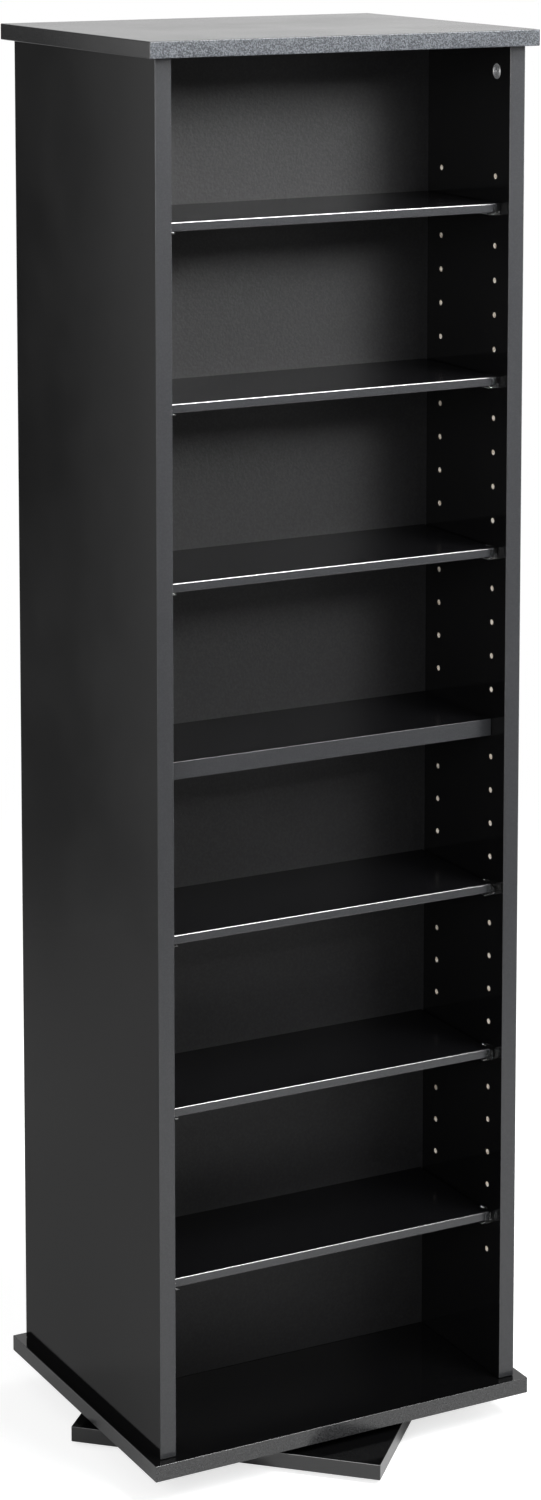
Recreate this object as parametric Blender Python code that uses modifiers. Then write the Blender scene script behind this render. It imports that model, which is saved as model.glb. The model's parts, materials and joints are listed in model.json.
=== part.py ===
"""Spinning storage tower: a two-sided open shelf case on a ball swivel and a square base.

Lengths are in metres, +Z is up, and the front of the tower faces -Y. The origin is on the
floor under the swivel's axis. The case turns about Z over the base, and the ball ring between
the two swivel plates turns at half its speed.
"""

import math

import bmesh
import bpy
from mathutils import Matrix, Vector

MM = 0.001

# Case: two side panels and a central divider between a top board and a bottom board.
BODY_WIDTH = 374 * MM
BODY_DEPTH = 296 * MM
PANEL_HEIGHT = 1264 * MM
PANEL_THICKNESS = 16 * MM
TOP_THICKNESS = 15 * MM
BOTTOM_THICKNESS = 15 * MM
SIDE_OVERHANG = 9.5 * MM
FRONT_OVERHANG = 10 * MM
DIVIDER_THICKNESS = 6 * MM
GROOVE_DEPTH = 5 * MM

# Rows of shelf pin holes, drilled on the inner faces of both side panels.
ROW_PITCH = 32 * MM
ROW_END_MARGIN = 112 * MM
PIN_COLUMN_INSET = 24 * MM
PIN_COLUMN_SPACING = 96 * MM
PIN_HOLE_RADIUS = 2.6 * MM
PIN_HOLE_DEPTH = 11 * MM
SHELVES_PER_HALF = 3

# Shelves.
SHELF_THICKNESS = 8.5 * MM
SHELF_BELOW_ROW = 0.5 * MM
FIXED_SHELF_THICKNESS = 16 * MM
FIXED_SHELF_RECESS = 23.5 * MM
FIXED_SHELF_DROP = 3.6 * MM

# Clear clips that hold the adjustable shelves.
CLIP_WIDTH = 18 * MM
CLIP_PLATE = 2 * MM
CLIP_LEDGE = 1.8 * MM
CLIP_LEDGE_REACH = 11 * MM
CLIP_HOOK = 1.2 * MM
CLIP_HOOK_REACH = 2.6 * MM
CLIP_HOOK_WIDTH = 9 * MM
CLIP_LIP = 1 * MM
CLIP_PIN_LENGTH = 9 * MM

# Cam locks that hold the top board on the side panels.
CAM_RADIUS = 7.5 * MM
CAM_INSET = 24 * MM
CAM_BACK_WALL = 3.5 * MM
CAM_SLOT_LENGTH = 8.5 * MM
CAM_SLOT_WIDTH = 1.8 * MM
CAM_SLOT_DEPTH = 1.6 * MM
BOLT_HOLE_RADIUS = 3.4 * MM
BOLT_NECK_RADIUS = 1.9 * MM
BOLT_HEAD_HEIGHT = 3 * MM
BOLT_THREAD_LENGTH = 10 * MM

# Base board and its feet.
BASE_SIDE = 298 * MM
BASE_THICKNESS = 15 * MM
BASE_TURN_DEGREES = -43.4
ACCESS_HOLE_RADIUS = 7 * MM
FOOT_RADIUS = 11 * MM
FOOT_HEIGHT = 4 * MM
FOOT_TAPER = 1.5 * MM
FOOT_INSET = 32 * MM
FOOT_PIN_RADIUS = 1.6 * MM
FOOT_PIN_LENGTH = 9 * MM

# Swivel: two square steel plates that roll on a ring of balls.
SWIVEL_HEIGHT = 7 * MM
SWIVEL_SIDE = 150 * MM
SWIVEL_PLATE = 1.2 * MM
SWIVEL_SCREW_SPACING = 127 * MM
BALL_CIRCLE_RADIUS = 48 * MM
BALL_COUNT = 18
CAGE_WIDTH = 3 * MM
CAGE_THICKNESS = 1.2 * MM
RACE_RIM = 1.2 * MM
RACE_RIM_HEIGHT = 1.5 * MM
RACE_CLEARANCE = 0.8 * MM
LIP_OVERLAP = 3 * MM
SUNK_SHARE = 0.25
BUSH_WALL = 3 * MM
SCREW_HEAD_RADIUS = 3.8 * MM
SCREW_HEAD_HEIGHT = 1.6 * MM
SCREW_RADIUS = 1.8 * MM
SCREW_LENGTH = 10 * MM

# Clearance between touching pieces, eased edges, overrun of cuts and overlap of joined shapes.
GAP = 0.3 * MM
BOARD_EDGE = 0.8 * MM
SHELF_EDGE = 1 * MM
OVERRUN = 1 * MM
JOIN = 0.3 * MM
WELD = 0.01 * MM

# Sides of the round shapes, from the smallest to the largest.
PIN_SIDES = 6
SCREW_SIDES = 8
BOLT_SIDES = 12
FOOT_STEPS = 16
CAM_SIDES = 24
RACE_STEPS = 36
BALL_SEGMENTS = 8
BALL_RINGS = 4

# Heights, from the floor up.
BASE_Z = FOOT_HEIGHT + GAP
SWIVEL_Z = BASE_Z + BASE_THICKNESS
BOTTOM_Z = SWIVEL_Z + SWIVEL_HEIGHT
PANEL_Z = BOTTOM_Z + BOTTOM_THICKNESS + GAP
TOP_Z = PANEL_Z + PANEL_HEIGHT + GAP
MIDDLE_Z = PANEL_Z + PANEL_HEIGHT / 2

# Places inside the case.
WALL_X = BODY_WIDTH / 2 - PANEL_THICKNESS
PANEL_X = BODY_WIDTH / 2 - PANEL_THICKNESS / 2
COLUMN_Y = BODY_DEPTH / 2 - PIN_COLUMN_INSET
INNER_COLUMN_Y = COLUMN_Y - PIN_COLUMN_SPACING
SHELF_BACK_Y = DIVIDER_THICKNESS / 2 + GAP
SHELF_FRONT_Y = COLUMN_Y + CLIP_WIDTH / 2 - CLIP_LIP - GAP
CAM_Y = BODY_DEPTH / 2 - CAM_INSET
CAM_Z = PANEL_Z + PANEL_HEIGHT - CAM_INSET
ROW_REACH = int((PANEL_HEIGHT / 2 - ROW_END_MARGIN) / ROW_PITCH)
ROWS_PER_BAY = ROW_REACH // SHELVES_PER_HALF
SHELF_ROWS = [bay * ROWS_PER_BAY for bay in range(SHELVES_PER_HALF, -SHELVES_PER_HALF - 1, -1) if bay]

SIDES = {"left": -1, "right": 1}
FACES = {"front": -1, "back": 1}
QUARTERS = [(x, y) for x in SIDES.values() for y in FACES.values()]

# Colour, roughness and metallic value of each finish.
FINISHES = {
    "black laminate": ((0.022, 0.022, 0.024), 0.42, 0.0),
    "top laminate": ((0.03, 0.03, 0.032), 0.36, 0.0),
    "shelf laminate": ((0.02, 0.02, 0.022), 0.3, 0.0),
    "divider laminate": ((0.035, 0.035, 0.037), 0.55, 0.0),
    "clear plastic": ((0.75, 0.78, 0.78), 0.12, 0.0),
    "zinc": ((0.62, 0.63, 0.64), 0.32, 1.0),
    "plated steel": ((0.55, 0.55, 0.53), 0.35, 1.0),
    "bearing steel": ((0.7, 0.7, 0.7), 0.15, 1.0),
    "foot plastic": ((0.03, 0.03, 0.03), 0.6, 0.0),
}


def new_collection(name):
    collection = bpy.data.collections.new(name)
    bpy.context.scene.collection.children.link(collection)
    return collection


def new_material(name, finish):
    colour, roughness, metallic = FINISHES[finish]
    material = bpy.data.materials.new(name)
    material.use_nodes = True
    shader = material.node_tree.nodes["Principled BSDF"]
    shader.inputs["Base Color"].default_value = (*colour, 1)
    shader.inputs["Roughness"].default_value = roughness
    shader.inputs["Metallic"].default_value = metallic
    material.diffuse_color = (*colour, 1)
    return material


def place(obj, finish=None, parent=None):
    """Links a piece with its own material, or a cutter where no finish is given."""
    (parts if finish else cutters).objects.link(obj)
    if finish:
        obj.data.materials.clear()
        obj.data.materials.append(new_material(obj.name + " finish", finish))
    else:
        obj.hide_render = True
        obj.display_type = "WIRE"
    if parent:
        obj.parent = parent
    return obj


def new_pivot(name, location, turn=0):
    pivot = bpy.data.objects.new(name, None)
    pivot.location = location
    pivot.rotation_euler.z = turn
    parts.objects.link(pivot)
    return pivot


def box_object(name, low, high):
    """A box between two corners, with its origin at its centre."""
    low, high = Vector(low), Vector(high)
    mesh = bpy.data.meshes.new(name)
    shape = bmesh.new()
    bmesh.ops.create_cube(shape, size=1)
    bmesh.ops.scale(shape, vec=high - low, verts=shape.verts)
    shape.to_mesh(mesh)
    shape.free()
    obj = bpy.data.objects.new(name, mesh)
    obj.location = (low + high) / 2
    return obj


def rods_object(name, ends, radius, sides):
    """One mesh of straight round rods, each given by its two ends."""
    mesh = bpy.data.meshes.new(name)
    shape = bmesh.new()
    for start, end in ends:
        start, end = Vector(start), Vector(end)
        along = end - start
        turn = Vector((0, 0, 1)).rotation_difference(along).to_matrix().to_4x4()
        matrix = Matrix.Translation((start + end) / 2) @ turn
        bmesh.ops.create_cone(
            shape, cap_ends=True, segments=sides, radius1=radius, radius2=radius,
            depth=along.length, matrix=matrix,
        )
    shape.to_mesh(mesh)
    shape.free()
    return bpy.data.objects.new(name, mesh)


def upright(spots, low, high):
    """The ends of one upright rod at each (x, y) spot."""
    return [((x, y, low), (x, y, high)) for x, y in spots]


def turned_object(name, profile, steps, closed=False):
    """A turned solid. Its profile of (radius, height) runs down the outer side."""
    mesh = bpy.data.meshes.new(name)
    last = len(profile) if closed else len(profile) - 1
    edges = [(i, (i + 1) % len(profile)) for i in range(last)]
    mesh.from_pydata([(radius, 0, height) for radius, height in profile], edges, [])
    obj = bpy.data.objects.new(name, mesh)
    screw = obj.modifiers.new("turn", "SCREW")
    screw.steps = steps
    screw.render_steps = steps
    screw.use_merge_vertices = True
    screw.merge_threshold = WELD
    return obj


def bevel(obj, width, segments=1):
    modifier = obj.modifiers.new("eased edges", "BEVEL")
    modifier.width = width
    modifier.segments = segments


def combine(obj, other, operation):
    modifier = obj.modifiers.new(other.name, "BOOLEAN")
    modifier.operation = operation
    modifier.solver = "EXACT"
    modifier.object = other


def cut_rods(obj, name, ends, radius, sides, parent):
    combine(obj, place(rods_object(name, ends, radius, sides), parent=parent), "DIFFERENCE")


def baked_mesh(obj):
    """The mesh of an object as its modifiers leave it."""
    bpy.context.view_layer.update()
    graph = bpy.context.evaluated_depsgraph_get()
    return bpy.data.meshes.new_from_object(obj.evaluated_get(graph))


def smooth(obj):
    obj.data.shade_smooth()
    obj.data.set_sharp_from_angle(angle=math.radians(30))


def make_board(name, low, high, finish, edge):
    board = box_object(name, low, high)
    bevel(board, edge)
    return place(board, finish, tower)


def row_height(row):
    return MIDDLE_Z + row * ROW_PITCH


def make_caps():
    """Top board and bottom board, which both stand out past the case all round."""
    half_x = BODY_WIDTH / 2 + SIDE_OVERHANG
    half_y = BODY_DEPTH / 2 + FRONT_OVERHANG
    top = make_board(
        "top_board", (-half_x, -half_y, TOP_Z), (half_x, half_y, TOP_Z + TOP_THICKNESS),
        "top laminate", BOARD_EDGE,
    )
    thread_end = TOP_Z + BOLT_THREAD_LENGTH + GAP
    spots = [(x * PANEL_X, y * CAM_Y) for x, y in QUARTERS]
    bolts = upright(spots, TOP_Z - OVERRUN, thread_end)
    cut_rods(top, "top_bolt_holes", bolts, BOLT_HOLE_RADIUS, BOLT_SIDES, tower)
    bottom = make_board(
        "bottom_board", (-half_x, -half_y, BOTTOM_Z), (half_x, half_y, BOTTOM_Z + BOTTOM_THICKNESS),
        "top laminate", BOARD_EDGE,
    )
    reach = SWIVEL_SCREW_SPACING / 2
    screw_end = BOTTOM_Z - SWIVEL_PLATE + SCREW_LENGTH
    screws = upright([(x * reach, y * reach) for x, y in QUARTERS], BOTTOM_Z - OVERRUN, screw_end)
    cut_rods(bottom, "bottom_screw_holes", screws, SCREW_RADIUS + GAP, SCREW_SIDES, tower)


def make_side_panel(side):
    """A side panel with its rows of blind pin holes, its groove and its cam pockets."""
    x = SIDES[side]
    left = x * PANEL_X - PANEL_THICKNESS / 2
    half_y = BODY_DEPTH / 2
    panel = make_board(
        side + "_side_panel", (left, -half_y, PANEL_Z),
        (left + PANEL_THICKNESS, half_y, PANEL_Z + PANEL_HEIGHT), "black laminate", BOARD_EDGE,
    )
    mouth = x * (WALL_X - OVERRUN)
    pin_end = x * (WALL_X + PIN_HOLE_DEPTH)
    holes = [
        ((mouth, face * column, row_height(row)), (pin_end, face * column, row_height(row)))
        for row in range(-ROW_REACH, ROW_REACH + 1) if row
        for face in FACES.values() for column in (INNER_COLUMN_Y, COLUMN_Y)
    ]
    cut_rods(panel, side + "_pin_holes", holes, PIN_HOLE_RADIUS, PIN_SIDES, tower)
    half_groove = DIVIDER_THICKNESS / 2 + GAP
    groove = box_object(
        side + "_groove",
        (min(mouth, x * (WALL_X + GROOVE_DEPTH)), -half_groove, PANEL_Z - OVERRUN),
        (max(mouth, x * (WALL_X + GROOVE_DEPTH)), half_groove, PANEL_Z + PANEL_HEIGHT + OVERRUN),
    )
    combine(panel, place(groove, parent=tower), "DIFFERENCE")
    pocket_end = x * (BODY_WIDTH / 2 - CAM_BACK_WALL)
    pockets = [((mouth, y * CAM_Y, CAM_Z), (pocket_end, y * CAM_Y, CAM_Z)) for y in FACES.values()]
    cut_rods(panel, side + "_cam_pockets", pockets, CAM_RADIUS, CAM_SIDES, tower)
    spots = [(x * PANEL_X, y * CAM_Y) for y in FACES.values()]
    bores = upright(spots, CAM_Z, PANEL_Z + PANEL_HEIGHT + OVERRUN)
    cut_rods(panel, side + "_bolt_bores", bores, BOLT_HOLE_RADIUS, BOLT_SIDES, tower)


def make_divider():
    half_x = WALL_X + GROOVE_DEPTH - GAP
    half_y = DIVIDER_THICKNESS / 2
    divider = box_object(
        "center_divider", (-half_x, -half_y, PANEL_Z), (half_x, half_y, PANEL_Z + PANEL_HEIGHT)
    )
    place(divider, "divider laminate", tower)


def make_shelf(name, face, half_x, front_y, low_z, high_z):
    near, far = sorted((face * front_y, face * SHELF_BACK_Y))
    make_board(name, (-half_x, near, low_z), (half_x, far, high_z), "shelf laminate", SHELF_EDGE)


def make_shelves():
    """The fixed middle shelf and the adjustable shelves of each face, numbered from the top."""
    middle = MIDDLE_Z - FIXED_SHELF_DROP
    fixed_half_x = WALL_X - GAP
    half_x = WALL_X - CLIP_PLATE - 2 * GAP
    for face_name, face in FACES.items():
        make_shelf(
            face_name + "_fixed_shelf", face, fixed_half_x, BODY_DEPTH / 2 - FIXED_SHELF_RECESS,
            middle - FIXED_SHELF_THICKNESS / 2, middle + FIXED_SHELF_THICKNESS / 2,
        )
        for number, row in enumerate(SHELF_ROWS, start=1):
            low_z = row_height(row) - SHELF_BELOW_ROW
            make_shelf(
                "%s_shelf_%d" % (face_name, number), face, half_x, SHELF_FRONT_Y,
                low_z, low_z + SHELF_THICKNESS,
            )


def make_clip_mesh(hand):
    """A clip's mesh. Its pin lies on the hole's axis and points to hand times +X."""
    ledge_top = -SHELF_BELOW_ROW - GAP
    ledge_low = ledge_top - CLIP_LEDGE
    shelf_top = SHELF_THICKNESS - SHELF_BELOW_ROW
    hook_low = shelf_top + GAP
    hook_top = hook_low + CLIP_HOOK
    inner = GAP + CLIP_PLATE
    half = CLIP_WIDTH / 2

    def block(name, x_from, x_to, y_from, y_to, z_from, z_to):
        xs = sorted((-hand * x_from, -hand * x_to))
        return box_object(name, (xs[0], y_from, z_from), (xs[1], y_to, z_to))

    clip = block("clip_%d" % hand, GAP, inner, -half, half, ledge_low, hook_top)
    ledge = block("clip_ledge", inner - JOIN, CLIP_LEDGE_REACH, -half + JOIN / 2, half - JOIN / 2,
                  ledge_low + JOIN / 2, ledge_top)
    hook = block("clip_hook", inner - JOIN, inner + CLIP_HOOK_REACH, -CLIP_HOOK_WIDTH / 2,
                 CLIP_HOOK_WIDTH / 2, hook_low, hook_top - JOIN / 2)
    lip = block("clip_lip", inner - JOIN, CLIP_LEDGE_REACH - JOIN / 2, -half + JOIN / 4,
                -half + CLIP_LIP, ledge_low + JOIN, shelf_top - SHELF_EDGE)
    pin = rods_object(
        "clip_pin", [((-hand * (GAP + JOIN), 0, 0), (hand * CLIP_PIN_LENGTH, 0, 0))],
        PIN_HOLE_RADIUS - GAP, PIN_SIDES,
    )
    place(clip)
    for piece in (ledge, hook, lip, pin):
        combine(clip, place(piece), "UNION")
    mesh = baked_mesh(clip)
    mesh.transform(Matrix.Translation(clip.location))
    for piece in (clip, ledge, hook, lip, pin):
        bpy.data.objects.remove(piece)
    return mesh


def make_clips():
    """One clip at each end of each adjustable shelf, in the column of holes by the open face."""
    meshes = {hand: make_clip_mesh(hand) for hand in SIDES.values()}
    for face_name, face in FACES.items():
        for number, row in enumerate(SHELF_ROWS, start=1):
            for side, x in SIDES.items():
                name = "%s_clip_%s_%d" % (face_name, side, number)
                clip = bpy.data.objects.new(name, meshes[-x * face].copy())
                clip.location = (x * WALL_X, face * COLUMN_Y, row_height(row))
                clip.rotation_euler.z = 0 if face == FACES["front"] else math.pi
                place(clip, "clear plastic", tower)


def make_cams():
    """Cam locks in the side panels, and the bolts that they pull the top board down by."""
    radius = CAM_RADIUS - GAP
    depth = PANEL_THICKNESS - CAM_BACK_WALL - 2 * GAP
    shank = BOLT_HOLE_RADIUS - GAP
    top = TOP_Z + BOLT_THREAD_LENGTH
    head_top = CAM_Z + BOLT_HEAD_HEIGHT / 2
    profile = [
        (0, top), (shank, top), (shank, head_top + shank), (BOLT_NECK_RADIUS, head_top + BOLT_NECK_RADIUS),
        (BOLT_NECK_RADIUS, head_top), (shank, head_top), (shank, head_top - BOLT_HEAD_HEIGHT),
        (0, head_top - BOLT_HEAD_HEIGHT),
    ]
    for face_name, face in FACES.items():
        for side, x in SIDES.items():
            tag = face_name + "_" + side
            y = face * CAM_Y
            mouth = x * (WALL_X + GAP)
            end = x * (WALL_X + GAP + depth)
            cam = rods_object("cam_lock_" + tag, [((mouth, y, CAM_Z), (end, y, CAM_Z))], radius, CAM_SIDES)
            bore_low = CAM_Z - BOLT_HEAD_HEIGHT / 2 - GAP
            bore = upright([(x * PANEL_X, y)], bore_low, CAM_Z + radius + OVERRUN)
            cut_rods(cam, tag + "_cam_bore", bore, BOLT_HOLE_RADIUS, BOLT_SIDES, tower)
            slot_x = sorted((mouth - x * OVERRUN, mouth + x * CAM_SLOT_DEPTH))
            for slot_name, across, up in (
                ("_slot_across", CAM_SLOT_LENGTH / 2, CAM_SLOT_WIDTH / 2),
                ("_slot_up", CAM_SLOT_WIDTH / 2, CAM_SLOT_LENGTH / 2),
            ):
                slot = box_object(
                    tag + slot_name, (slot_x[0], y - across, CAM_Z - up), (slot_x[1], y + across, CAM_Z + up)
                )
                combine(cam, place(slot, parent=tower), "DIFFERENCE")
            place(cam, "zinc", tower)
            smooth(cam)
            bolt = turned_object("cam_bolt_" + tag, profile, BOLT_SIDES)
            bolt.location = (x * PANEL_X, y, 0)
            place(bolt, "plated steel", tower)


def swivel_screws(name, head_z, into):
    """Four screws as one mesh. into is 1 where they point up, and -1 where they point down."""
    reach = SWIVEL_SCREW_SPACING / 2
    crown = head_z - into * SCREW_HEAD_HEIGHT
    root = head_z - into * SCREW_HEAD_HEIGHT / 2
    seat = head_z + into * JOIN
    tip = head_z + into * SCREW_LENGTH
    spots = [(x * reach, y * reach) for x, y in QUARTERS]
    return (
        rods_object(name + "_screw_heads", upright(spots, crown, seat), SCREW_HEAD_RADIUS, BOLT_SIDES),
        rods_object(name + "_screw_shanks", upright(spots, root, tip), SCREW_RADIUS, SCREW_SIDES),
    )


def make_swivel():
    """The two plates, the ball ring between them and the ring that keeps them together."""
    half = SWIVEL_SIDE / 2
    low_top = GAP + SWIVEL_PLATE
    high_low = SWIVEL_HEIGHT - GAP - SWIVEL_PLATE
    lip_low = low_top + GAP
    cage_inner = BALL_CIRCLE_RADIUS - CAGE_WIDTH / 2
    cage_outer = BALL_CIRCLE_RADIUS + CAGE_WIDTH / 2
    upper_rim_outer = cage_inner - RACE_CLEARANCE
    lower_wall_outer = upper_rim_outer - RACE_RIM - RACE_CLEARANCE
    lower_wall_inner = lower_wall_outer - RACE_RIM
    flange_outer = lower_wall_inner - GAP
    lip_inner = flange_outer - LIP_OVERLAP
    hub_outer = lip_inner - RACE_CLEARANCE
    hub_inner = hub_outer - RACE_RIM
    bush_outer = hub_inner - GAP

    plate = box_object("swivel_lower_plate", (-half, -half, GAP), (half, half, low_top))
    plate.location.z += SWIVEL_Z
    hole = upright([(0, 0)], SWIVEL_Z - OVERRUN, BOTTOM_Z)
    cut_rods(plate, "lower_plate_hole", hole, lower_wall_outer - RACE_RIM / 2, RACE_STEPS, base)
    guard_inner = cage_outer + RACE_CLEARANCE
    guard_outer = guard_inner + RACE_RIM
    guard_top = low_top + RACE_RIM_HEIGHT
    lip_top = lip_low + SWIVEL_PLATE
    sunk = SWIVEL_PLATE * SUNK_SHARE
    race = [
        (guard_outer, guard_top), (guard_outer, GAP + sunk), (lower_wall_inner, GAP + sunk),
        (lower_wall_inner, lip_low), (lip_inner, lip_low), (lip_inner, lip_top), (lower_wall_outer, lip_top),
        (lower_wall_outer, low_top - sunk), (guard_inner, low_top - sunk), (guard_inner, guard_top),
    ]
    heads, shanks = swivel_screws("lower", low_top, -1)
    for piece in (turned_object("lower_race", race, RACE_STEPS, True), heads, shanks):
        piece.location.z = SWIVEL_Z
        combine(plate, place(piece, parent=base), "UNION")
    place(plate, "plated steel", base)
    smooth(plate)

    high_top = high_low + SWIVEL_PLATE
    plate = box_object("swivel_upper_plate", (-half, -half, high_low), (half, half, high_top))
    plate.location.z += SWIVEL_Z
    hole = upright([(0, 0)], SWIVEL_Z, BOTTOM_Z + OVERRUN)
    cut_rods(plate, "upper_plate_hole", hole, hub_outer - RACE_RIM / 2, RACE_STEPS, tower)
    rim_inner = upper_rim_outer - RACE_RIM
    race = [
        (upper_rim_outer, high_top - sunk), (upper_rim_outer, high_low - RACE_RIM_HEIGHT),
        (rim_inner, high_low - RACE_RIM_HEIGHT), (rim_inner, high_low + sunk), (hub_outer, high_low + sunk),
        (hub_outer, lip_low), (hub_inner, lip_low), (hub_inner, high_top - sunk),
    ]
    heads, shanks = swivel_screws("upper", high_low, 1)
    for piece in (turned_object("upper_race", race, RACE_STEPS, True), heads, shanks):
        piece.location.z = SWIVEL_Z
        combine(plate, place(piece, parent=tower), "UNION")
    place(plate, "plated steel", tower)
    smooth(plate)

    keeper = turned_object(
        "swivel_keeper_ring",
        [
            (bush_outer, high_low), (bush_outer, low_top), (flange_outer, low_top), (flange_outer, GAP),
            (bush_outer - BUSH_WALL, GAP), (bush_outer - BUSH_WALL, high_low),
        ],
        RACE_STEPS, True,
    )
    keeper.location.z = SWIVEL_Z
    place(keeper, "plated steel", tower)

    ball_radius = (high_low - low_top) / 2 - GAP
    middle = (high_low + low_top) / 2
    ring = turned_object(
        "swivel_ball_ring",
        [
            (cage_outer, CAGE_THICKNESS / 2), (cage_outer, -CAGE_THICKNESS / 2),
            (cage_inner, -CAGE_THICKNESS / 2), (cage_inner, CAGE_THICKNESS / 2),
        ],
        RACE_STEPS, True,
    )
    ring.location.z = SWIVEL_Z + middle
    mesh = bpy.data.meshes.new("balls")
    shape = bmesh.new()
    first_angle = math.tau / RACE_STEPS / 2
    for number in range(BALL_COUNT):
        turn = Matrix.Rotation(first_angle + math.tau * number / BALL_COUNT, 4, "Z")
        spot = turn @ Matrix.Translation((BALL_CIRCLE_RADIUS, 0, 0))
        bmesh.ops.create_uvsphere(
            shape, u_segments=BALL_SEGMENTS, v_segments=BALL_RINGS, radius=ball_radius, matrix=spot
        )
    shape.to_mesh(mesh)
    shape.free()
    balls = bpy.data.objects.new("balls", mesh)
    balls.location = ring.location
    combine(ring, place(balls), "UNION")
    place(ring, "bearing steel")


def make_base():
    """The square base board and the feet under its corners."""
    half = BASE_SIDE / 2
    board = box_object("base_board", (-half, -half, BASE_Z), (half, half, BASE_Z + BASE_THICKNESS))
    bevel(board, BOARD_EDGE)
    reach = SWIVEL_SCREW_SPACING / 2
    screw_low = SWIVEL_Z + SWIVEL_PLATE - SCREW_LENGTH
    screws = upright([(x * reach, y * reach) for x, y in QUARTERS], screw_low, SWIVEL_Z + OVERRUN)
    cut_rods(board, "base_screw_holes", screws, SCREW_RADIUS + GAP, SCREW_SIDES, base)
    foot_reach = half - FOOT_INSET
    pin_top = FOOT_HEIGHT + FOOT_PIN_LENGTH
    feet = [(x * foot_reach, y * foot_reach) for x, y in QUARTERS]
    pins = upright(feet, BASE_Z - OVERRUN, pin_top + GAP)
    cut_rods(board, "base_pin_holes", pins, FOOT_PIN_RADIUS + GAP, SCREW_SIDES, base)
    # A screwdriver passes here, clear of the lower plate, to each screw of the upper plate in turn.
    access = upright([(math.hypot(reach, reach), 0)], BASE_Z - OVERRUN, SWIVEL_Z + OVERRUN)
    cut_rods(board, "access_hole", access, ACCESS_HOLE_RADIUS, CAM_SIDES, base)
    place(board, "black laminate", base)
    profile = [
        (0, pin_top), (FOOT_PIN_RADIUS, pin_top), (FOOT_PIN_RADIUS, FOOT_HEIGHT),
        (FOOT_RADIUS, FOOT_HEIGHT), (FOOT_RADIUS, FOOT_TAPER),
        (FOOT_RADIUS - FOOT_TAPER, 0), (0, 0),
    ]
    for number, (x, y) in enumerate(feet, start=1):
        foot = turned_object("base_foot_%d" % number, profile, FOOT_STEPS)
        foot.location = (x, y, 0)
        place(foot, "foot plastic", base)


for old in list(bpy.data.objects):
    bpy.data.objects.remove(old)
parts = new_collection("spinning storage tower")
cutters = new_collection("cutters")
base = new_pivot("base_pivot", (0, 0, 0), math.radians(BASE_TURN_DEGREES))
tower = new_pivot("tower_pivot", (0, 0, 0))

make_caps()
for panel_side in SIDES:
    make_side_panel(panel_side)
make_divider()
make_shelves()
make_clips()
make_cams()
make_swivel()
make_base()
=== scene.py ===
import json
import math

import bmesh
import bpy
from mathutils import Matrix, Vector

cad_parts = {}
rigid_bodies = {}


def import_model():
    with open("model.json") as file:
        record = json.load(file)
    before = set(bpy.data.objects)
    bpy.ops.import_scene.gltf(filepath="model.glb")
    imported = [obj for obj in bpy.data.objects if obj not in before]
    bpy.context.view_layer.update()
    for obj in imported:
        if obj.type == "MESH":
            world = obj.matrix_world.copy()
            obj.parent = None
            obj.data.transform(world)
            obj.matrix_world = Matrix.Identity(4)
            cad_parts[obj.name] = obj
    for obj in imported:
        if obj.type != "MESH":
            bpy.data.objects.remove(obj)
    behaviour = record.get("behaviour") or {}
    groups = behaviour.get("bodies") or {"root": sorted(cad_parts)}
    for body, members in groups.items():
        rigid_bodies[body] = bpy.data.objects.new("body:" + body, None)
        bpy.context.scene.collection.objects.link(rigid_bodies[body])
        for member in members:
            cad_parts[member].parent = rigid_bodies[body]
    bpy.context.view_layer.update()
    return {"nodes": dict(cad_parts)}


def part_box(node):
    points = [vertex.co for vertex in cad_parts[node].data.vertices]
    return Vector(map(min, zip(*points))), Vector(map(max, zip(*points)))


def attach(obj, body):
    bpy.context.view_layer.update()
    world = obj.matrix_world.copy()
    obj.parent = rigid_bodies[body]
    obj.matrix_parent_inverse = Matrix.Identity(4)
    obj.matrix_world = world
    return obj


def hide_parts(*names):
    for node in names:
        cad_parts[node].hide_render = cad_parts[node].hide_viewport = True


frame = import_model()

# A black two-sided shelf tower that turns on its base. Lengths are in metres, +Z is up and the
# front faces -Y. Boards, locks and glides take their outer sizes from the boxes of their CAD
# nodes, and the clips take their places from the shelves' boxes.

sides = {"left": -1, "right": 1}
faces = {"front": -1, "back": 1}
corners = [face + "_" + side for face in faces for side in sides]
shelfNumbers = range(1, 7)  # adjustable shelves, counted from the top

panelLow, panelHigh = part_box("right_side_panel")
wallX = panelLow.x
halfDepth = panelHigh.y
panelMiddle = (panelLow.z + panelHigh.z) / 2

# material slots of a board: its flats, its edges, what is cut into it (on the shelves, the rim
# lightened as a painted highlight), its side edges (on the top board, a darker copy of its edge band
# as painted shade)
flatSlot, edgeSlot, cutOrRimHighlightSlot, sideSlot = range(4)
slotCount = 4


# Mesh tools

meshing = {
    "flatFrom": 0.95,  # how far a normal leans along the flat axis on a flat face
    "overrun": 0.001,  # how far a cutter runs past the face that it opens
    "weld": 4e-6, "sharpFrom": 32,  # metres, and degrees between faces
}


def box(low, high, radius=0.0, steps=2, flatAxis=None):
    # a box in a new bmesh, eased by radius; faces off the flat axis get the edge slot
    shape = bmesh.new()
    bmesh.ops.create_cube(shape, size=1)
    low, high = Vector(low), Vector(high)
    bmesh.ops.scale(shape, vec=high - low, verts=shape.verts)
    bmesh.ops.translate(shape, vec=(low + high) / 2, verts=shape.verts)
    if radius:
        bmesh.ops.bevel(shape, geom=shape.edges[:], offset=radius, segments=steps, profile=0.5,
                        affect="EDGES")
    if flatAxis:
        for face in shape.faces:
            flat = abs(getattr(face.normal, flatAxis)) > meshing["flatFrom"]
            face.material_index = flatSlot if flat else edgeSlot
    return shape


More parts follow.
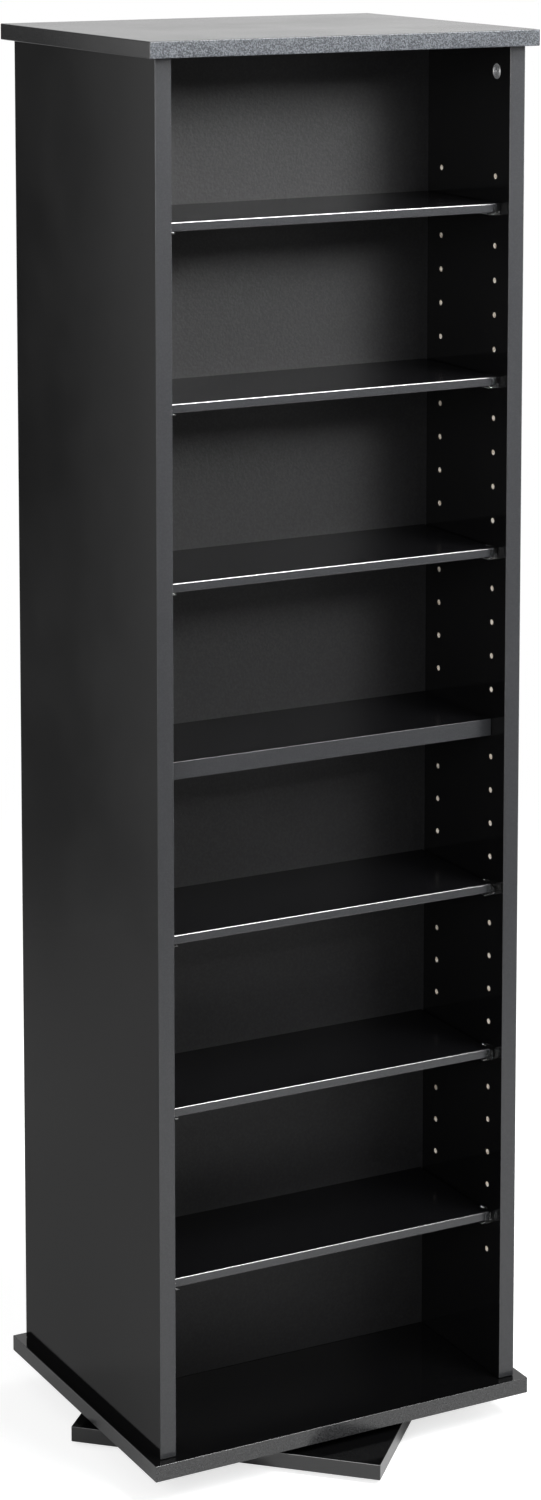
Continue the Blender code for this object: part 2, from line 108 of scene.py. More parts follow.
def rod(shape, start, end, radius, steps, endRadius=None, slot=flatSlot):
    # adds a cylinder, or a cone with its own end radius, to the bmesh
    start, end = Vector(start), Vector(end)
    along = end - start
    turn = Vector((0, 0, 1)).rotation_difference(along).to_matrix().to_4x4()
    before = set(shape.faces)
    bmesh.ops.create_cone(
        shape, cap_ends=True, segments=steps, radius1=radius,
        radius2=radius if endRadius is None else endRadius, depth=along.length,
        matrix=Matrix.Translation((start + end) / 2) @ turn,
    )
    for face in set(shape.faces) - before:
        face.material_index = slot
    return shape


def turned(profile, steps):
    # a solid turned about Z from (radius, height) points, which run from the axis at the top to
    # the axis at the bottom; built ring by ring, as the spin operator's order varies between runs
    shape = bmesh.new()
    rings = []
    for radius, height in profile:
        turns = [math.tau * step / steps for step in range(steps if radius else 1)]
        rings.append([shape.verts.new((radius * math.cos(turn), radius * math.sin(turn), height))
                      for turn in turns])
    for upper, lower in zip(rings, rings[1:]):
        for step in range(steps):
            around = (upper[step % len(upper)], lower[step % len(lower)],
                      lower[(step + 1) % len(lower)], upper[(step + 1) % len(upper)])
            # a point on the axis is there twice, and is taken once
            shape.faces.new(tuple(dict.fromkeys(around)))
    return shape


def meshOf(shape, name):
    mesh = bpy.data.meshes.new(name)
    shape.to_mesh(mesh)
    shape.free()
    return mesh


def carve(mesh, shape, operation="DIFFERENCE"):
    # the mesh after one exact boolean with a bmesh, whose faces keep their own slots
    other = bpy.data.objects.new("tool", meshOf(shape, "tool"))
    work = bpy.data.objects.new("work", mesh)
    for obj in (work, other):
        bpy.context.scene.collection.objects.link(obj)
        while len(obj.data.materials) < slotCount:
            obj.data.materials.append(None)
    cut = work.modifiers.new("cut", "BOOLEAN")
    cut.operation = operation
    cut.solver = "EXACT"
    cut.object = other
    bpy.context.view_layer.update()
    graph = bpy.context.evaluated_depsgraph_get()
    result = bpy.data.meshes.new_from_object(work.evaluated_get(graph))
    for obj in (work, other):
        bpy.data.objects.remove(obj)
    # corners that fell together are welded, so that no sliver is left
    clean = bmesh.new()
    clean.from_mesh(result)
    bmesh.ops.remove_doubles(clean, verts=clean.verts, dist=meshing["weld"])
    bmesh.ops.dissolve_degenerate(clean, edges=clean.edges, dist=meshing["weld"])
    clean.to_mesh(result)
    clean.free()
    return result


def addPiece(name, mesh, body, finishes, stands=(), place=None):
    # makes the finished mesh an object that rides on a body and stands for CAD nodes
    for index, finish in enumerate(finishes):
        if index < len(mesh.materials):
            mesh.materials[index] = finish
        else:
            mesh.materials.append(finish)
    mesh.shade_smooth()
    mesh.set_sharp_from_angle(angle=math.radians(meshing["sharpFrom"]))
    obj = bpy.data.objects.new(name, mesh)
    bpy.context.scene.collection.objects.link(obj)
    if place is not None:
        obj.matrix_world = place
    weights = obj.modifiers.new("flat faces stay flat", "WEIGHTED_NORMAL")
    weights.keep_sharp = True
    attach(obj, body)
    if stands:
        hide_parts(*stands)


def refinish(nodeName, finish):
    # a CAD node keeps its mesh and gets a better material
    materials = frame["nodes"][nodeName].data.materials
    materials.clear()
    materials.append(finish)


# Finishes

def newFinish(name, colour, roughness, metallic=0.0, specular=0.5):
    material = bpy.data.materials.new(name)
    material.use_nodes = True
    shader = material.node_tree.nodes["Principled BSDF"]
    shader.inputs["Base Color"].default_value = (*colour, 1)
    shader.inputs["Roughness"].default_value = roughness
    shader.inputs["Metallic"].default_value = metallic
    shader.inputs["Specular IOR Level"].default_value = specular
    material.diffuse_color = (*colour, 1)
    return material, shader


def node(material, kind, values=None, **settings):
    made = material.node_tree.nodes.new(kind)
    for name, value in settings.items():
        setattr(made, name, value)
    for name, value in (values or {}).items():
        made.inputs[name].default_value = value
    return made


def wire(material, source, output, target, socket):
    material.node_tree.links.new(source.outputs[output], target.inputs[socket])


noiseReach = (0.3, 0.7)  # what the noise nearly always stays between


def speckle(material, size, detail=2.0, stretch=(1, 1, 1)):
    # soft noise with spots of about the given size
    where = node(material, "ShaderNodeTexCoord")
    scale = node(material, "ShaderNodeMapping")
    scale.inputs["Scale"].default_value = stretch
    noise = node(material, "ShaderNodeTexNoise", {"Scale": 1 / size, "Detail": detail})
    wire(material, where, "Object", scale, "Vector")
    wire(material, scale, "Vector", noise, "Vector")
    return noise


def blendColours(material, shader, source, output, low, high, span):
    ramp = node(material, "ShaderNodeValToRGB")
    for element, place, colour in zip(ramp.color_ramp.elements, span, (low, high)):
        element.position = place
        element.color = (*colour, 1)
    wire(material, source, output, ramp, "Fac")
    wire(material, ramp, "Color", shader, "Base Color")


def varyRoughness(material, shader, noise, low, high):
    spread = node(material, "ShaderNodeMapRange", {
        "From Min": noiseReach[0], "From Max": noiseReach[1], "To Min": low, "To Max": high,
    })
    wire(material, noise, "Fac", spread, "Value")
    wire(material, spread, "Result", shader, "Roughness")


def relief(material, shader, source, output, strength, depth):
    bump = node(material, "ShaderNodeBump", {"Strength": strength, "Distance": depth})
    wire(material, source, output, bump, "Height")
    wire(material, bump, "Normal", shader, "Normal")


def makeLaminate(name, look):
    # fine flecks in colour and height, with gloss that drifts over larger patches
    material, shader = newFinish(name, look["colour"], look["roughness"], specular=look["specular"])
    grain = speckle(material, look["grain"], look["grainDetail"])
    blendColours(material, shader, grain, "Fac", look["colour"], look["fleck"], look["fleckSpan"])
    spread = look["roughnessSpread"]
    varyRoughness(material, shader, speckle(material, look["patch"]),
                  look["roughness"] - spread, look["roughness"] + spread)
    relief(material, shader, grain, "Fac", look["bump"], look["bumpDepth"])
    for socket, value in look.get("coat", {}).items():
        shader.inputs[socket].default_value = value
    return material


laminate = {
    "colour": (0.002, 0.002, 0.0022), "fleck": (0.004, 0.004, 0.0042), "fleckSpan": (0.4, 0.65),
    "roughness": 0.10, "roughnessSpread": 0.02, "specular": 0.2,
    "grain": 0.0011, "grainDetail": 3.0, "patch": 0.12, "bump": 0.08, "bumpDepth": 0.0002,
}
edgeBand = dict(laminate, colour=(0.0245, 0.0255, 0.028), fleck=(0.032, 0.033, 0.0355),
                roughness=0.24, specular=0.75, bump=0.12)
# the top board's front and back edges: real pebble bump, with light flecks that are painted glints
# and painted light, lightened to make up for the near lamp that skips the top board
pebbledLitEdge = dict(laminate, colour=(0.030, 0.034, 0.040), fleck=(0.158, 0.170, 0.188),
                   fleckSpan=(0.42, 0.62), grain=0.0012, roughness=0.32, specular=0.7,
                   bump=0.7, bumpDepth=0.0004)
# the top board's left and right ends: a darker copy of its edge band, as painted shade
topShadedSideEdge = dict(laminate, colour=(0.006, 0.0062, 0.0066), fleck=(0.018, 0.0185, 0.0195),
                   specular=0.7, bump=0.12)
bottomEdge = dict(edgeBand, colour=(0.018, 0.0182, 0.019), fleck=(0.045, 0.0455, 0.047),
                  fleckSpan=(0.4, 0.7), specular=1.0, bump=0.08)
bottomFace = dict(laminate, specular=0.6)
topFace = dict(laminate, fleck=(0.012, 0.012, 0.012), roughness=0.18, specular=0.8, bump=0.25)
baseEdge = dict(edgeBand, colour=(0.010, 0.010, 0.0105), fleck=(0.015, 0.015, 0.0155), specular=0.3,
                coat={"Coat Weight": 1.0, "Coat IOR": 1.6, "Coat Roughness": 0.08})
shelfFace = dict(laminate, colour=(0.003, 0.003, 0.0034), fleck=(0.0045, 0.0045, 0.005),
                 roughness=0.2, specular=0.05, bump=0.05)
shelfEdge = dict(edgeBand, roughness=0.18, bump=0.04)
# the shelves' rounded top rim: its colour is lighter than the edge band as a painted highlight; its
# coat and gloss are real
shelfRimHighlight = dict(shelfEdge, colour=(0.05, 0.05, 0.053), fleck=(0.06, 0.06, 0.063), specular=1.0,
                coat={"Coat Weight": 1.0, "Coat IOR": 1.7, "Coat Roughness": 0.12})
dividerFace = dict(laminate, colour=(0.0022, 0.0022, 0.0028), fleck=(0.010, 0.010, 0.0108),
                   roughness=0.53, specular=0.6, bump=0.45, bumpDepth=0.0004, grain=0.002)

outerLaminate = makeLaminate("outer laminate", laminate)
outerBand = makeLaminate("outer edge band", edgeBand)
topLaminate = makeLaminate("top laminate", topFace)
topLitBand = makeLaminate("pebbled top edge with painted light", pebbledLitEdge)
topShadedSideBand = makeLaminate("top side edge with painted shade", topShadedSideEdge)
bottomLaminate = makeLaminate("bottom laminate", bottomFace)
bottomBand = makeLaminate("bottom edge band", bottomEdge)
baseBand = makeLaminate("base edge band", baseEdge)
shelfLaminate = makeLaminate("shelf laminate", shelfFace)
shelfBand = makeLaminate("shelf edge band", shelfEdge)
rimHighlight = makeLaminate("shelf rim with painted highlight", shelfRimHighlight)
dividerLaminate = makeLaminate("divider laminate", dividerFace)

pressedChips = {
    "dark": (0.66, 0.56, 0.45), "light": (0.93, 0.88, 0.80), "span": (0.0, 0.55), "size": 0.0016,
    "roughness": 0.85, "specular": 0.2, "bump": 0.3, "bumpDepth": 0.0004,
}


def makeRawBoard(look):
    # chips of several tones, as the drilled holes show them
    material, shader = newFinish("raw chipboard", look["light"], look["roughness"],
                                 specular=look["specular"])
    chips = node(material, "ShaderNodeTexVoronoi", {"Scale": 1 / look["size"], "Randomness": 1.0})
    where = node(material, "ShaderNodeTexCoord")
    wire(material, where, "Object", chips, "Vector")
    tone = node(material, "ShaderNodeSeparateColor")
    wire(material, chips, "Color", tone, "Color")
    blendColours(material, shader, tone, "Red", look["dark"], look["light"], look["span"])
    relief(material, shader, chips, "Distance", look["bump"], look["bumpDepth"])
    return material


mouldedClip = {
    "colour": (0.90, 0.92, 0.93), "roughness": 0.06, "roughnessReach": (0.03, 0.09), "ior": 1.55,
    "coatIor": 1.8, "coatRoughness": 0.04, "flow": 0.004, "bump": 0.15, "bumpDepth": 0.0003,
}


def makeClearPlastic(look):
    material, shader = newFinish("clear plastic", look["colour"], look["roughness"])
    shader.inputs["IOR"].default_value = look["ior"]
    shader.inputs["Transmission Weight"].default_value = 1.0
    shader.inputs["Coat Weight"].default_value = 1.0
    shader.inputs["Coat IOR"].default_value = look["coatIor"]
    shader.inputs["Coat Roughness"].default_value = look["coatRoughness"]
    flow = speckle(material, look["flow"])
    varyRoughness(material, shader, flow, *look["roughnessReach"])
    relief(material, shader, flow, "Fac", look["bump"], look["bumpDepth"])
    return material


castMetal = {
    "colour": (0.66, 0.67, 0.68), "dark": (0.42, 0.43, 0.44), "span": (0.3, 0.6),
    "roughness": 0.62, "roughnessShares": (0.8, 1.25), "stretch": (1, 1, 1),
    "grain": 0.0012, "grainDetail": 4.0, "bump": 0.1, "bumpDepth": 0.0001,
}
# the zinc in the cam's slots, ring groove and pit: darker, as painted shade in these hollows, and
# glossier
hollowShadeMetal = dict(castMetal, colour=(0.62, 0.62, 0.63), dark=(0.30, 0.30, 0.31), roughness=0.5,
                grain=0.0008)
platedMetal = dict(castMetal, colour=(0.56, 0.56, 0.54), dark=(0.42, 0.42, 0.40), roughness=0.32,
                   grain=0.002, stretch=(1, 12, 1))
ballMetal = dict(castMetal, colour=(0.72, 0.72, 0.72), dark=(0.62, 0.62, 0.62), roughness=0.14,
                 grain=0.003)


def makeMetal(name, look):
    material, shader = newFinish(name, look["colour"], look["roughness"], metallic=1.0)
    grain = speckle(material, look["grain"], look["grainDetail"], look["stretch"])
    blendColours(material, shader, grain, "Fac", look["dark"], look["colour"], look["span"])
    smooth, dull = (look["roughness"] * share for share in look["roughnessShares"])
    varyRoughness(material, shader, grain, smooth, dull)
    relief(material, shader, grain, "Fac", look["bump"], look["bumpDepth"])
    return material


glidePlastic = {
    "colour": (0.02, 0.02, 0.021), "dark": (0.015, 0.015, 0.016), "light": (0.03, 0.03, 0.03),
    "span": (0.3, 0.7), "roughness": 0.5, "grain": 0.0008, "bump": 0.3, "bumpDepth": 0.0001,
}


def makeFootPlastic(look):
    material, shader = newFinish("moulded glide", look["colour"], look["roughness"])
    grain = speckle(material, look["grain"])
    blendColours(material, shader, grain, "Fac", look["dark"], look["light"], look["span"])
    relief(material, shader, grain, "Fac", look["bump"], look["bumpDepth"])
    return material


rawBoard = makeRawBoard(pressedChips)
clearPlastic = makeClearPlastic(mouldedClip)
castZinc = makeMetal("cast zinc", castMetal)
hollowShadeZinc = makeMetal("zinc in the slots and ring, painted darker", hollowShadeMetal)
platedSteel = makeMetal("plated steel", platedMetal)
ballSteel = makeMetal("ball steel", ballMetal)
footPlastic = makeFootPlastic(glidePlastic)
print("finishes made")


# Top board and bottom board

capBoard = {
    "topRadius": 0.0010, "bottomRadius": 0.0005, "edgeSteps": 3, "sideFrom": 0.7,
    "boltRadius": 0.0034, "boltDepth": 0.0103, "boltSteps": 24,
}


def drillForBolts(mesh, underside):
    mouth = underside - meshing["overrun"]
    end = underside + capBoard["boltDepth"]
    holes = bmesh.new()
    for corner in corners:
        boltLow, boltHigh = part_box("cam_bolt_" + corner)
        x, y = ((boltLow + boltHigh) / 2).xy
        rod(holes, (x, y, mouth), (x, y, end), capBoard["boltRadius"], capBoard["boltSteps"],
            slot=cutOrRimHighlightSlot)
    return carve(mesh, holes)


def makeCap(end, finishes):
    low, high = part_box(end + "_board")
    mesh = meshOf(box(low, high, capBoard[end + "Radius"], capBoard["edgeSteps"], "z"), end)
    if end == "top":
        mesh = drillForBolts(mesh, low.z)
    # ends facing along X take the side slot, which on the top board holds a darker copy of its edge
    # band: painted shade
    for part in mesh.polygons:
        if abs(part.normal.x) > capBoard["sideFrom"] and part.material_index == edgeSlot:
            part.material_index = sideSlot
    addPiece(end + "_slab", mesh, "tower", finishes, [end + "_board"])


# the top board's front and back edges get a lighter copy of its band (painted light) and its ends a
# darker one (painted shade)
makeCap("top", [topLaminate, topLitBand, rawBoard, topShadedSideBand])
makeCap("bottom", [bottomLaminate, bottomBand, rawBoard, bottomBand])
print("top and bottom boards made")


# Side panels, drilled on their inner faces

sidePanel = {
    "edgeRadius": 0.0008, "edgeSteps": 3,
    "rowPitch": 0.032, "rowReach": 16, "columnInset": 0.024, "columnSpacing": 0.096,
    "holeRadius": 0.0026, "holeDepth": 0.011, "holeSteps": 20,
    "camRadius": 0.0075, "camInset": 0.024, "camDepth": 0.0125, "camSteps": 40,
    "grooveDepth": 0.005, "grooveGap": 0.0003,
}
columnY = halfDepth - sidePanel["columnInset"]
innerColumnY = columnY - sidePanel["columnSpacing"]
camY = halfDepth - sidePanel["camInset"]
camZ = panelHigh.z - sidePanel["camInset"]


def rowHeight(row):
    return panelMiddle + row * sidePanel["rowPitch"]


def drillPanel(mesh, x):
    # pin holes in all rows but the middle one, which a fixed shelf covers, and the cam recesses
    mouth = x * (wallX - meshing["overrun"])
    pinEnd = x * (wallX + sidePanel["holeDepth"])
    camEnd = x * (wallX + sidePanel["camDepth"])
    holes = bmesh.new()
    for row in range(-sidePanel["rowReach"], sidePanel["rowReach"] + 1):
        for y in (-columnY, -innerColumnY, innerColumnY, columnY):
            if row:
                rod(holes, (mouth, y, rowHeight(row)), (pinEnd, y, rowHeight(row)),
                    sidePanel["holeRadius"], sidePanel["holeSteps"], slot=cutOrRimHighlightSlot)
    for y in (-camY, camY):
        rod(holes, (mouth, y, camZ), (camEnd, y, camZ), sidePanel["camRadius"],
            sidePanel["camSteps"])
    return carve(mesh, holes)


def grooveForDivider(mesh, x, low, high):
    past = meshing["overrun"]
    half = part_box("center_divider")[1].y + sidePanel["grooveGap"]
    ends = sorted((x * (wallX - past), x * (wallX + sidePanel["grooveDepth"])))
    groove = box((ends[0], -half, low.z - past), (ends[1], half, high.z + past))
    for face in groove.faces:
        face.material_index = cutOrRimHighlightSlot
    return carve(mesh, groove)


for side, x in sides.items():
    low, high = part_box(side + "_side_panel")
    panel = meshOf(box(low, high, sidePanel["edgeRadius"], sidePanel["edgeSteps"], "x"), side)
    panel = grooveForDivider(drillPanel(panel, x), x, low, high)
    addPiece(side + "_panel_drilled", panel, "tower", [outerLaminate, outerBand, rawBoard],
             [side + "_side_panel"])
print("side panels made")


# Divider and shelves

shelf = {"edgeRadius": 0.0011, "fixedRadius": 0.0003, "edgeSteps": 5, "rimFrom": 0.1}


def makeShelf(name, nodeName, radius, rimmed):
    low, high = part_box(nodeName)
    mesh = meshOf(box(low, high, radius, shelf["edgeSteps"], "z"), name)
    finishes = [shelfLaminate, shelfBand]
    if rimmed:
        # the rounded rim between each long edge and the top face gets a lighter, glossier copy of
        # the edge band: a painted highlight, with real gloss and coat
        finishes.append(rimHighlight)
        for part in mesh.polygons:
            if part.normal.z > shelf["rimFrom"] and abs(part.normal.y) > shelf["rimFrom"]:
                part.material_index = cutOrRimHighlightSlot
    addPiece(name, mesh, "tower", finishes, [nodeName])


refinish("center_divider", dividerLaminate)
for face in faces:
    makeShelf(face + "_fixed_board", face + "_fixed_shelf", shelf["fixedRadius"], False)
    for number in shelfNumbers:
        makeShelf("%s_shelf_board_%d" % (face, number), "%s_shelf_%d" % (face, number),
                  shelf["edgeRadius"], True)
print("divider and shelves made")


# Clear clips, two by the open face and two by the divider under each adjustable shelf

clip = {
    "gap": 0.0003, "width": 0.018, "plate": 0.002, "plateDrop": 0.0005, "plainRise": 0.003,
    "ledge": 0.0018, "reach": 0.011, "lip": 0.001, "lipReach": 0.0074, "lipDrop": 0.001,
    "ease": 0.0003, "easeSteps": 2, "pinRadius": 0.0023, "pinLength": 0.009, "pinTip": 0.0015,
    "pinSteps": 20, "noseShares": (0.99, 0.6),
}
topShelfRow = 15  # the row, counted from the middle one, that the first shelf's clips are in


def makeClip(hand, withLip):
    # the pin lies on the hole's axis and points to hand times +X, and the lip faces -Y; the
    # clips by the divider are plain and low, without the lip
    shelfLow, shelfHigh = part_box("front_shelf_1")
    ledgeTop = shelfLow.z - rowHeight(topShelfRow) - clip["gap"]
    ledgeLow = ledgeTop - clip["ledge"]
    shelfTop = shelfHigh.z - rowHeight(topShelfRow)
    inner = clip["gap"] + clip["plate"]
    half = clip["width"] / 2
    join = clip["ease"]  # how deep one part of the clip starts inside the last one

    def block(xFrom, xTo, yFrom, yTo, zFrom, zTo):
        ends = sorted((-hand * xFrom, -hand * xTo))
        return box((ends[0], yFrom, zFrom), (ends[1], yTo, zTo), clip["ease"], clip["easeSteps"])

    # the ledge and lip stop short of the plate's own faces, so that none of them coincide
    plateTop = shelfTop - clip["plateDrop"] if withLip else ledgeTop + clip["plainRise"]
    mesh = meshOf(block(clip["gap"], inner, -half, half, ledgeLow, plateTop), "clip")
    ledge = block(inner - 2 * join, clip["reach"], -half + join / 2, half - join / 2,
                  ledgeLow + join / 2, ledgeTop)
    mesh = carve(mesh, ledge, "UNION")
    if withLip:
        lip = block(inner - 2 * join, clip["lipReach"], -half + join / 4, -half + clip["lip"],
                    ledgeLow + join, shelfTop - clip["lipDrop"])
        mesh = carve(mesh, lip, "UNION")
    tip = clip["pinLength"] - clip["pinTip"]
    pin = rod(bmesh.new(), (-hand * (clip["gap"] + join), 0, 0), (hand * tip, 0, 0),
              clip["pinRadius"], clip["pinSteps"])
    mesh = carve(mesh, pin, "UNION")
    root, end = (clip["pinRadius"] * share for share in clip["noseShares"])
    nose = rod(bmesh.new(), (hand * (tip - join), 0, 0), (hand * clip["pinLength"], 0, 0), root,
               clip["pinSteps"], end)
    return carve(mesh, nose, "UNION")


def placeClips():
    meshes = {(hand, lip): makeClip(hand, lip) for hand in sides.values() for lip in (True, False)}
    turnBack = Matrix.Rotation(math.pi, 4, "Z")
    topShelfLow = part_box("front_shelf_1")[0].z
    for faceName, face in faces.items():
        for number in shelfNumbers:
            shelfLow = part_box("%s_shelf_%d" % (faceName, number))[0].z
            row = shelfLow - topShelfLow + rowHeight(topShelfRow)
            for side, x in sides.items():
                for where, y, lip in (("outer", columnY, True), ("inner", innerColumnY, False)):
                    spot = Matrix.Translation((x * wallX, face * y, row))
                    if face > 0:
                        spot = spot @ turnBack
                    name = "%s_clip_%s_%s_%d" % (faceName, side, where, number)
                    stands = ["%s_clip_%s_%d" % (faceName, side, number)] if lip else []
                    addPiece(name, meshes[-x * face, lip], "tower", [clearPlastic],
                             stands, spot)


placeClips()
print("clips made")


# Cam locks and their bolts

camLock = {
    "rim": 0.0005, "steps": 48, "turn": 8,  # the turn is in degrees
    "ringRadius": 0.0057, "ringWidth": 0.0010, "ringDepth": 0.0005, "ringFrom": 0.1,
    "slotLength": 0.0078, "slotWidth": 0.0016, "slotDepth": 0.0018,
    "pitRadius": 0.0016, "pitTipShare": 0.4, "pitDepthShare": 1.6, "pitRise": 0.0002,
    "pitSteps": 24,
}
castSlot, hollowShadeSlot = range(2)


def makeCamMesh(radius, depth):
    # the face points to +Z, with a turned ring, a cross slot and a pit in the middle
    ring, width, rim = camLock["ringRadius"], camLock["ringWidth"], camLock["rim"]
    profile = [
        (0, depth), (ring - width, depth), (ring - width / 2, depth - camLock["ringDepth"]),
        (ring, depth), (radius - rim, depth), (radius, depth - rim),
        (radius, rim), (radius - rim, 0), (0, 0),
    ]
    mesh = meshOf(turned(profile, camLock["steps"]), "cam")
    # the ring groove, and below it the cross slots and the pit, take a darker zinc: painted shade in
    # these hollows
    for part in mesh.polygons:
        reach = math.hypot(part.center.x, part.center.y)
        inRing = ring - width < reach < ring and part.normal.z > camLock["ringFrom"]
        part.material_index = hollowShadeSlot if inRing else castSlot
    half, wide = camLock["slotLength"] / 2, camLock["slotWidth"] / 2
    for reachX, reachY in ((half, wide), (wide, half)):
        slot = box((-reachX, -reachY, depth - camLock["slotDepth"]),
                   (reachX, reachY, depth + meshing["overrun"]))
        for wall in slot.faces:
            wall.material_index = hollowShadeSlot
        mesh = carve(mesh, slot)
    pitLow = depth - camLock["pitDepthShare"] * camLock["slotDepth"]
    pit = rod(bmesh.new(), (0, 0, pitLow), (0, 0, depth + camLock["pitRise"]),
              camLock["pitRadius"] * camLock["pitTipShare"], camLock["pitSteps"],
              camLock["pitRadius"], hollowShadeSlot)
    return carve(mesh, pit)


def placeCams():
    low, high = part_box("cam_lock_front_right")
    mesh = makeCamMesh((high.z - low.z) / 2, high.x - low.x)
    twist = Matrix.Rotation(math.radians(camLock["turn"]), 4, "Z")
    for faceName in faces:
        for side, x in sides.items():
            corner = faceName + "_" + side
            low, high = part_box("cam_lock_" + corner)
            centre = (low + high) / 2
            wall = Matrix.Translation((high.x if x > 0 else low.x, centre.y, centre.z))
            spot = wall @ Matrix.Rotation(-x * math.pi / 2, 4, "Y") @ twist
            addPiece("cam_" + corner, mesh, "tower", [castZinc, hollowShadeZinc],
                     ["cam_lock_" + corner], spot)
            refinish("cam_bolt_" + corner, platedSteel)


placeCams()
print("cam locks made")


# Base board, glides and swivel

baseBoard = {
    "edgeRadius": 0.0008, "edgeSteps": 3,
    "accessRadius": 0.007, "accessReach": 0.0898, "accessSteps": 32,
}
glidesOfOneSide = (1, 3)  # the two whose places give the base board's turn


def makeBase():
    start, end = (sum(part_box("base_foot_%d" % number), Vector()) / 2 for number in glidesOfOneSide)
    angle = math.atan2(end.y - start.y, end.x - start.x)
    low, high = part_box("base_board")
    half = (high.x - low.x) / 2 / (abs(math.cos(angle)) + abs(math.sin(angle)))
    mesh = meshOf(box((-half, -half, low.z), (half, half, high.z), baseBoard["edgeRadius"],
                      baseBoard["edgeSteps"], "z"), "base")
    # the hole through which the upper swivel plate's screws are driven
    reach, past = baseBoard["accessReach"], meshing["overrun"]
    hole = rod(bmesh.new(), (reach, 0, low.z - past), (reach, 0, high.z + past),
               baseBoard["accessRadius"], baseBoard["accessSteps"], slot=cutOrRimHighlightSlot)
    addPiece("base_slab", carve(mesh, hole), "base", [outerLaminate, baseBand, rawBoard],
             ["base_board"], Matrix.Rotation(angle, 4, "Z"))


glide = {"count": 4, "taper": 0.0015, "ease": 0.0006, "gap": 0.0003, "steps": 40}


def makeFeet():
    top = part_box("base_board")[0].z - glide["gap"]
    for number in range(1, glide["count"] + 1):
        name = "base_foot_%d" % number
        low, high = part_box(name)
        centre = (low + high) / 2
        radius = (high.x - low.x) / 2
        profile = [
            (0, top), (radius - glide["ease"], top), (radius, top - glide["ease"]),
            (radius, glide["taper"]), (radius - glide["taper"], low.z), (0, low.z),
        ]
        mesh = meshOf(turned(profile, glide["steps"]), name)
        addPiece("glide_%d" % number, mesh, "base", [footPlastic], [name],
                 Matrix.Translation((centre.x, centre.y, 0)))


makeBase()
makeFeet()
for steelNode in ("swivel_upper_plate", "swivel_lower_plate", "swivel_keeper_ring"):
    refinish(steelNode, platedSteel)
refinish("swivel_ball_ring", ballSteel)
print("base made")


# Studio: a floor that fades out, a world seen as white, glows for gloss to mirror, and lamps

floorLook = {
    "size": 6.0, "colour": (0.6, 0.6, 0.6), "roughness": 0.9, "seen": 0.7, "mirrored": 0.04,
    "fadeFrom": 0.8, "fadeTo": 2.2,
}


def makeFloor():
    # rays from the camera or through clear plastic see the floor lit up, and gloss only faintly
    shape = bmesh.new()
    bmesh.ops.create_grid(shape, x_segments=1, y_segments=1, size=floorLook["size"] / 2)
    floor = bpy.data.objects.new("floor", meshOf(shape, "floor"))
    bpy.context.scene.collection.objects.link(floor)
    material, shader = newFinish("pale floor", floorLook["colour"], floorLook["roughness"],
                                 specular=0.0)
    shader.inputs["Emission Color"].default_value = (1, 1, 1, 1)
    rays = node(material, "ShaderNodeLightPath")
    seen = node(material, "ShaderNodeMath", operation="ADD")
    mirrored = node(material, "ShaderNodeMath", {1: floorLook["mirrored"]}, operation="MULTIPLY")
    lift = node(material, "ShaderNodeMath", {1: floorLook["seen"]}, operation="MULTIPLY_ADD")
    wire(material, rays, "Is Camera Ray", seen, 0)
    wire(material, rays, "Is Transmission Ray", seen, 1)
    wire(material, rays, "Is Glossy Ray", mirrored, 0)
    wire(material, seen, "Value", lift, 0)
    wire(material, mirrored, "Value", lift, 2)
    wire(material, lift, "Value", shader, "Emission Strength")
    where = node(material, "ShaderNodeTexCoord")
    distance = node(material, "ShaderNodeVectorMath", operation="LENGTH")
    fade = node(material, "ShaderNodeMapRange", {
        "From Min": floorLook["fadeFrom"], "From Max": floorLook["fadeTo"],
        "To Min": 1.0, "To Max": 0.0,
    }, interpolation_type="SMOOTHSTEP")
    wire(material, where, "Object", distance, "Vector")
    wire(material, distance, "Value", fade, "Value")
    wire(material, fade, "Result", shader, "Alpha")
    floor.data.materials.append(material)


fillLight = 0.30  # what the world sends to matt surfaces
glows = {
    "bright side": {"toward": (0.945, 0.326, 0.0), "span": (-0.1, 0.908), "strength": (0.05, 1.0),
                    "curve": "LINEAR"},
    "card": {"toward": (-1.0, 0.0, 0.0), "span": (0.412, 0.459), "strength": (0.0, 0.91),
             "curve": "SMOOTHSTEP"},
    "low glow": {"toward": (0.0, 0.5, -1.0), "span": (0.575, 0.83), "strength": (0.0, 0.17),
                 "curve": "SMOOTHSTEP"},
}


def makeGlow(world, where, look):
    # a glow toward one direction; its strength changes over a span of the dot product with it
    toward = node(world, "ShaderNodeVectorMath", {1: look["toward"]}, operation="DOT_PRODUCT")
    glow = node(world, "ShaderNodeMapRange", {
        "From Min": look["span"][0], "From Max": look["span"][1],
        "To Min": look["strength"][0], "To Max": look["strength"][1],
    }, interpolation_type=look["curve"])
    wire(world, where, "Generated", toward, 0)
    wire(world, toward, "Value", glow, "Value")
    return glow


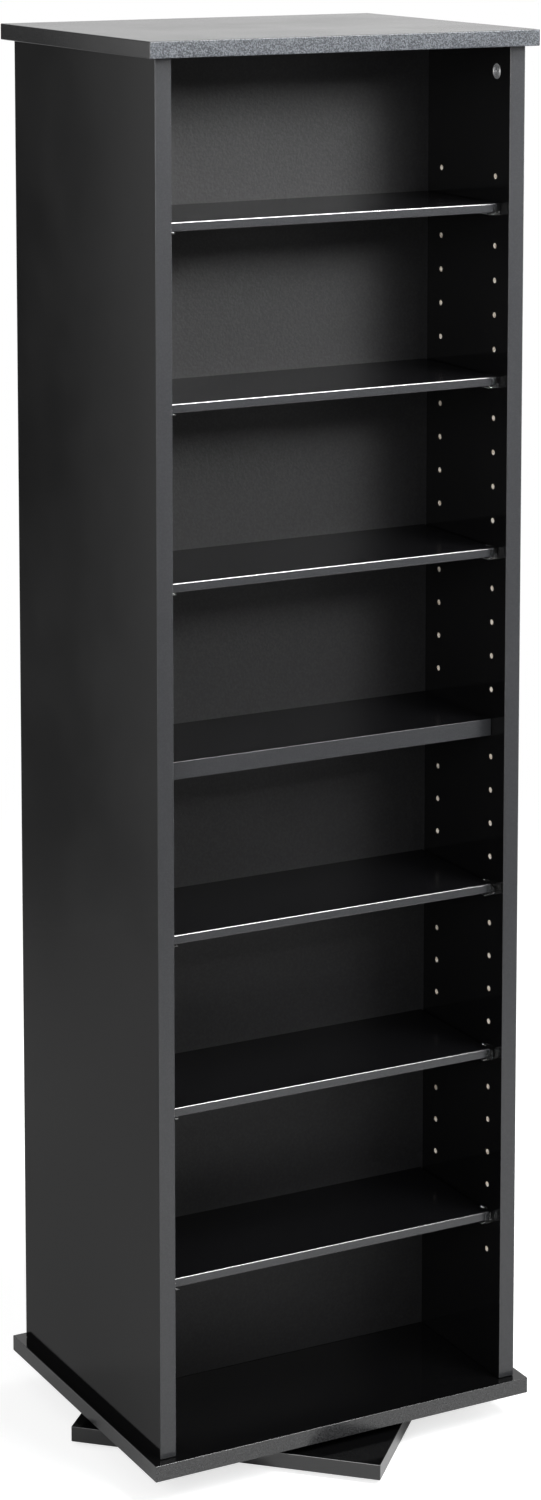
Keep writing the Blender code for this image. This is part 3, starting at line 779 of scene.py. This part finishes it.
def makeWorld():
    world = bpy.data.worlds.new("white studio")
    bpy.context.scene.world = world
    world.use_nodes = True
    world.node_tree.nodes.clear()
    white = (1, 1, 1, 1)
    where = node(world, "ShaderNodeTexCoord")
    total, *others = [makeGlow(world, where, look) for look in glows.values()]
    for glow in others:
        both = node(world, "ShaderNodeMath", operation="ADD")
        wire(world, total, 0, both, 0)
        wire(world, glow, 0, both, 1)
        total = both
    fill = node(world, "ShaderNodeBackground", {"Color": white, "Strength": fillLight})
    seen = node(world, "ShaderNodeBackground", {"Color": white, "Strength": 1.0})
    mirrored = node(world, "ShaderNodeBackground", {"Color": white})
    wire(world, total, 0, mirrored, "Strength")
    rays = node(world, "ShaderNodeLightPath")
    lit = node(world, "ShaderNodeMixShader")
    wire(world, rays, "Is Glossy Ray", lit, "Fac")
    wire(world, fill, "Background", lit, 1)
    wire(world, mirrored, "Background", lit, 2)
    clear = node(world, "ShaderNodeMath", operation="MAXIMUM")
    wire(world, rays, "Is Camera Ray", clear, 0)
    wire(world, rays, "Is Transmission Ray", clear, 1)
    shown = node(world, "ShaderNodeMixShader")
    wire(world, clear, "Value", shown, "Fac")
    wire(world, lit, "Shader", shown, 1)
    wire(world, seen, "Background", shown, 2)
    wire(world, shown, "Shader", node(world, "ShaderNodeOutputWorld"), "Surface")


# each lamp aims at a height on the tower's axis; power is in watts and spread in degrees
lamps = {
    "key": {"place": (1.23, -2.75, 2.6), "size": (1.4, 1.4), "power": 5.4, "spread": 28,
            "aim": 1.37},
    "near": {"place": (0.64, -1.45, 2.1), "size": (1.0, 1.05), "power": 32, "spread": 180,
             "aim": 1.1, "skips": "top_slab"},
    "left": {"place": (-2.6, -2.3, 1.7), "size": (1.4, 1.6), "power": 65, "spread": 180,
             "aim": 0.7},
    "above": {"place": (1.1, -1.3, 2.9), "size": (1.2, 0.6), "power": 48, "spread": 180,
              "aim": 0.7},
    "rim": {"place": (2.4, 1.0, 1.3), "size": (0.9, 1.6), "power": 20, "spread": 180,
            "aim": 0.7},
}


def makeLamps():
    for name, look in lamps.items():
        light = bpy.data.lights.new(name, "AREA")
        light.shape = "RECTANGLE"
        light.size, light.size_y = look["size"]
        light.energy = look["power"]
        light.spread = math.radians(look["spread"])
        obj = bpy.data.objects.new(name, light)
        obj.visible_camera = False
        bpy.context.scene.collection.objects.link(obj)
        obj.location = look["place"]
        along = Vector((0, 0, look["aim"])) - Vector(look["place"])
        obj.rotation_euler = along.to_track_quat("-Z", "Y").to_euler()
        if "skips" in look:
            # light linking, so that this lamp leaves no white patch in the gloss of that piece
            others = bpy.data.collections.new(name + " lamp passes over")
            others.objects.link(bpy.data.objects[look["skips"]])
            others.collection_objects[0].light_linking.link_state = "EXCLUDE"
            obj.light_linking.receiver_collection = others


# turn and tilt are in degrees, lens and sensor in millimetres
camera = {
    "place": (-1.516, -2.856, 1.5036), "turn": -28.025, "tilt": 7.314,
    "lens": 84.55, "sensor": 36, "shiftY": -0.315, "clip": (0.1, 100),
}


def makeCamera():
    lens = bpy.data.cameras.new("camera")
    lens.sensor_width = camera["sensor"]
    lens.lens = camera["lens"]
    lens.shift_y = camera["shiftY"]
    lens.clip_start, lens.clip_end = camera["clip"]
    obj = bpy.data.objects.new("camera", lens)
    bpy.context.scene.collection.objects.link(obj)
    obj.location = camera["place"]
    obj.rotation_euler = (math.radians(90 - camera["tilt"]), 0, math.radians(camera["turn"]))
    bpy.context.scene.camera = obj


makeFloor()
makeWorld()
makeLamps()
makeCamera()
bpy.context.scene.view_settings.view_transform = "Standard"
print("studio made")
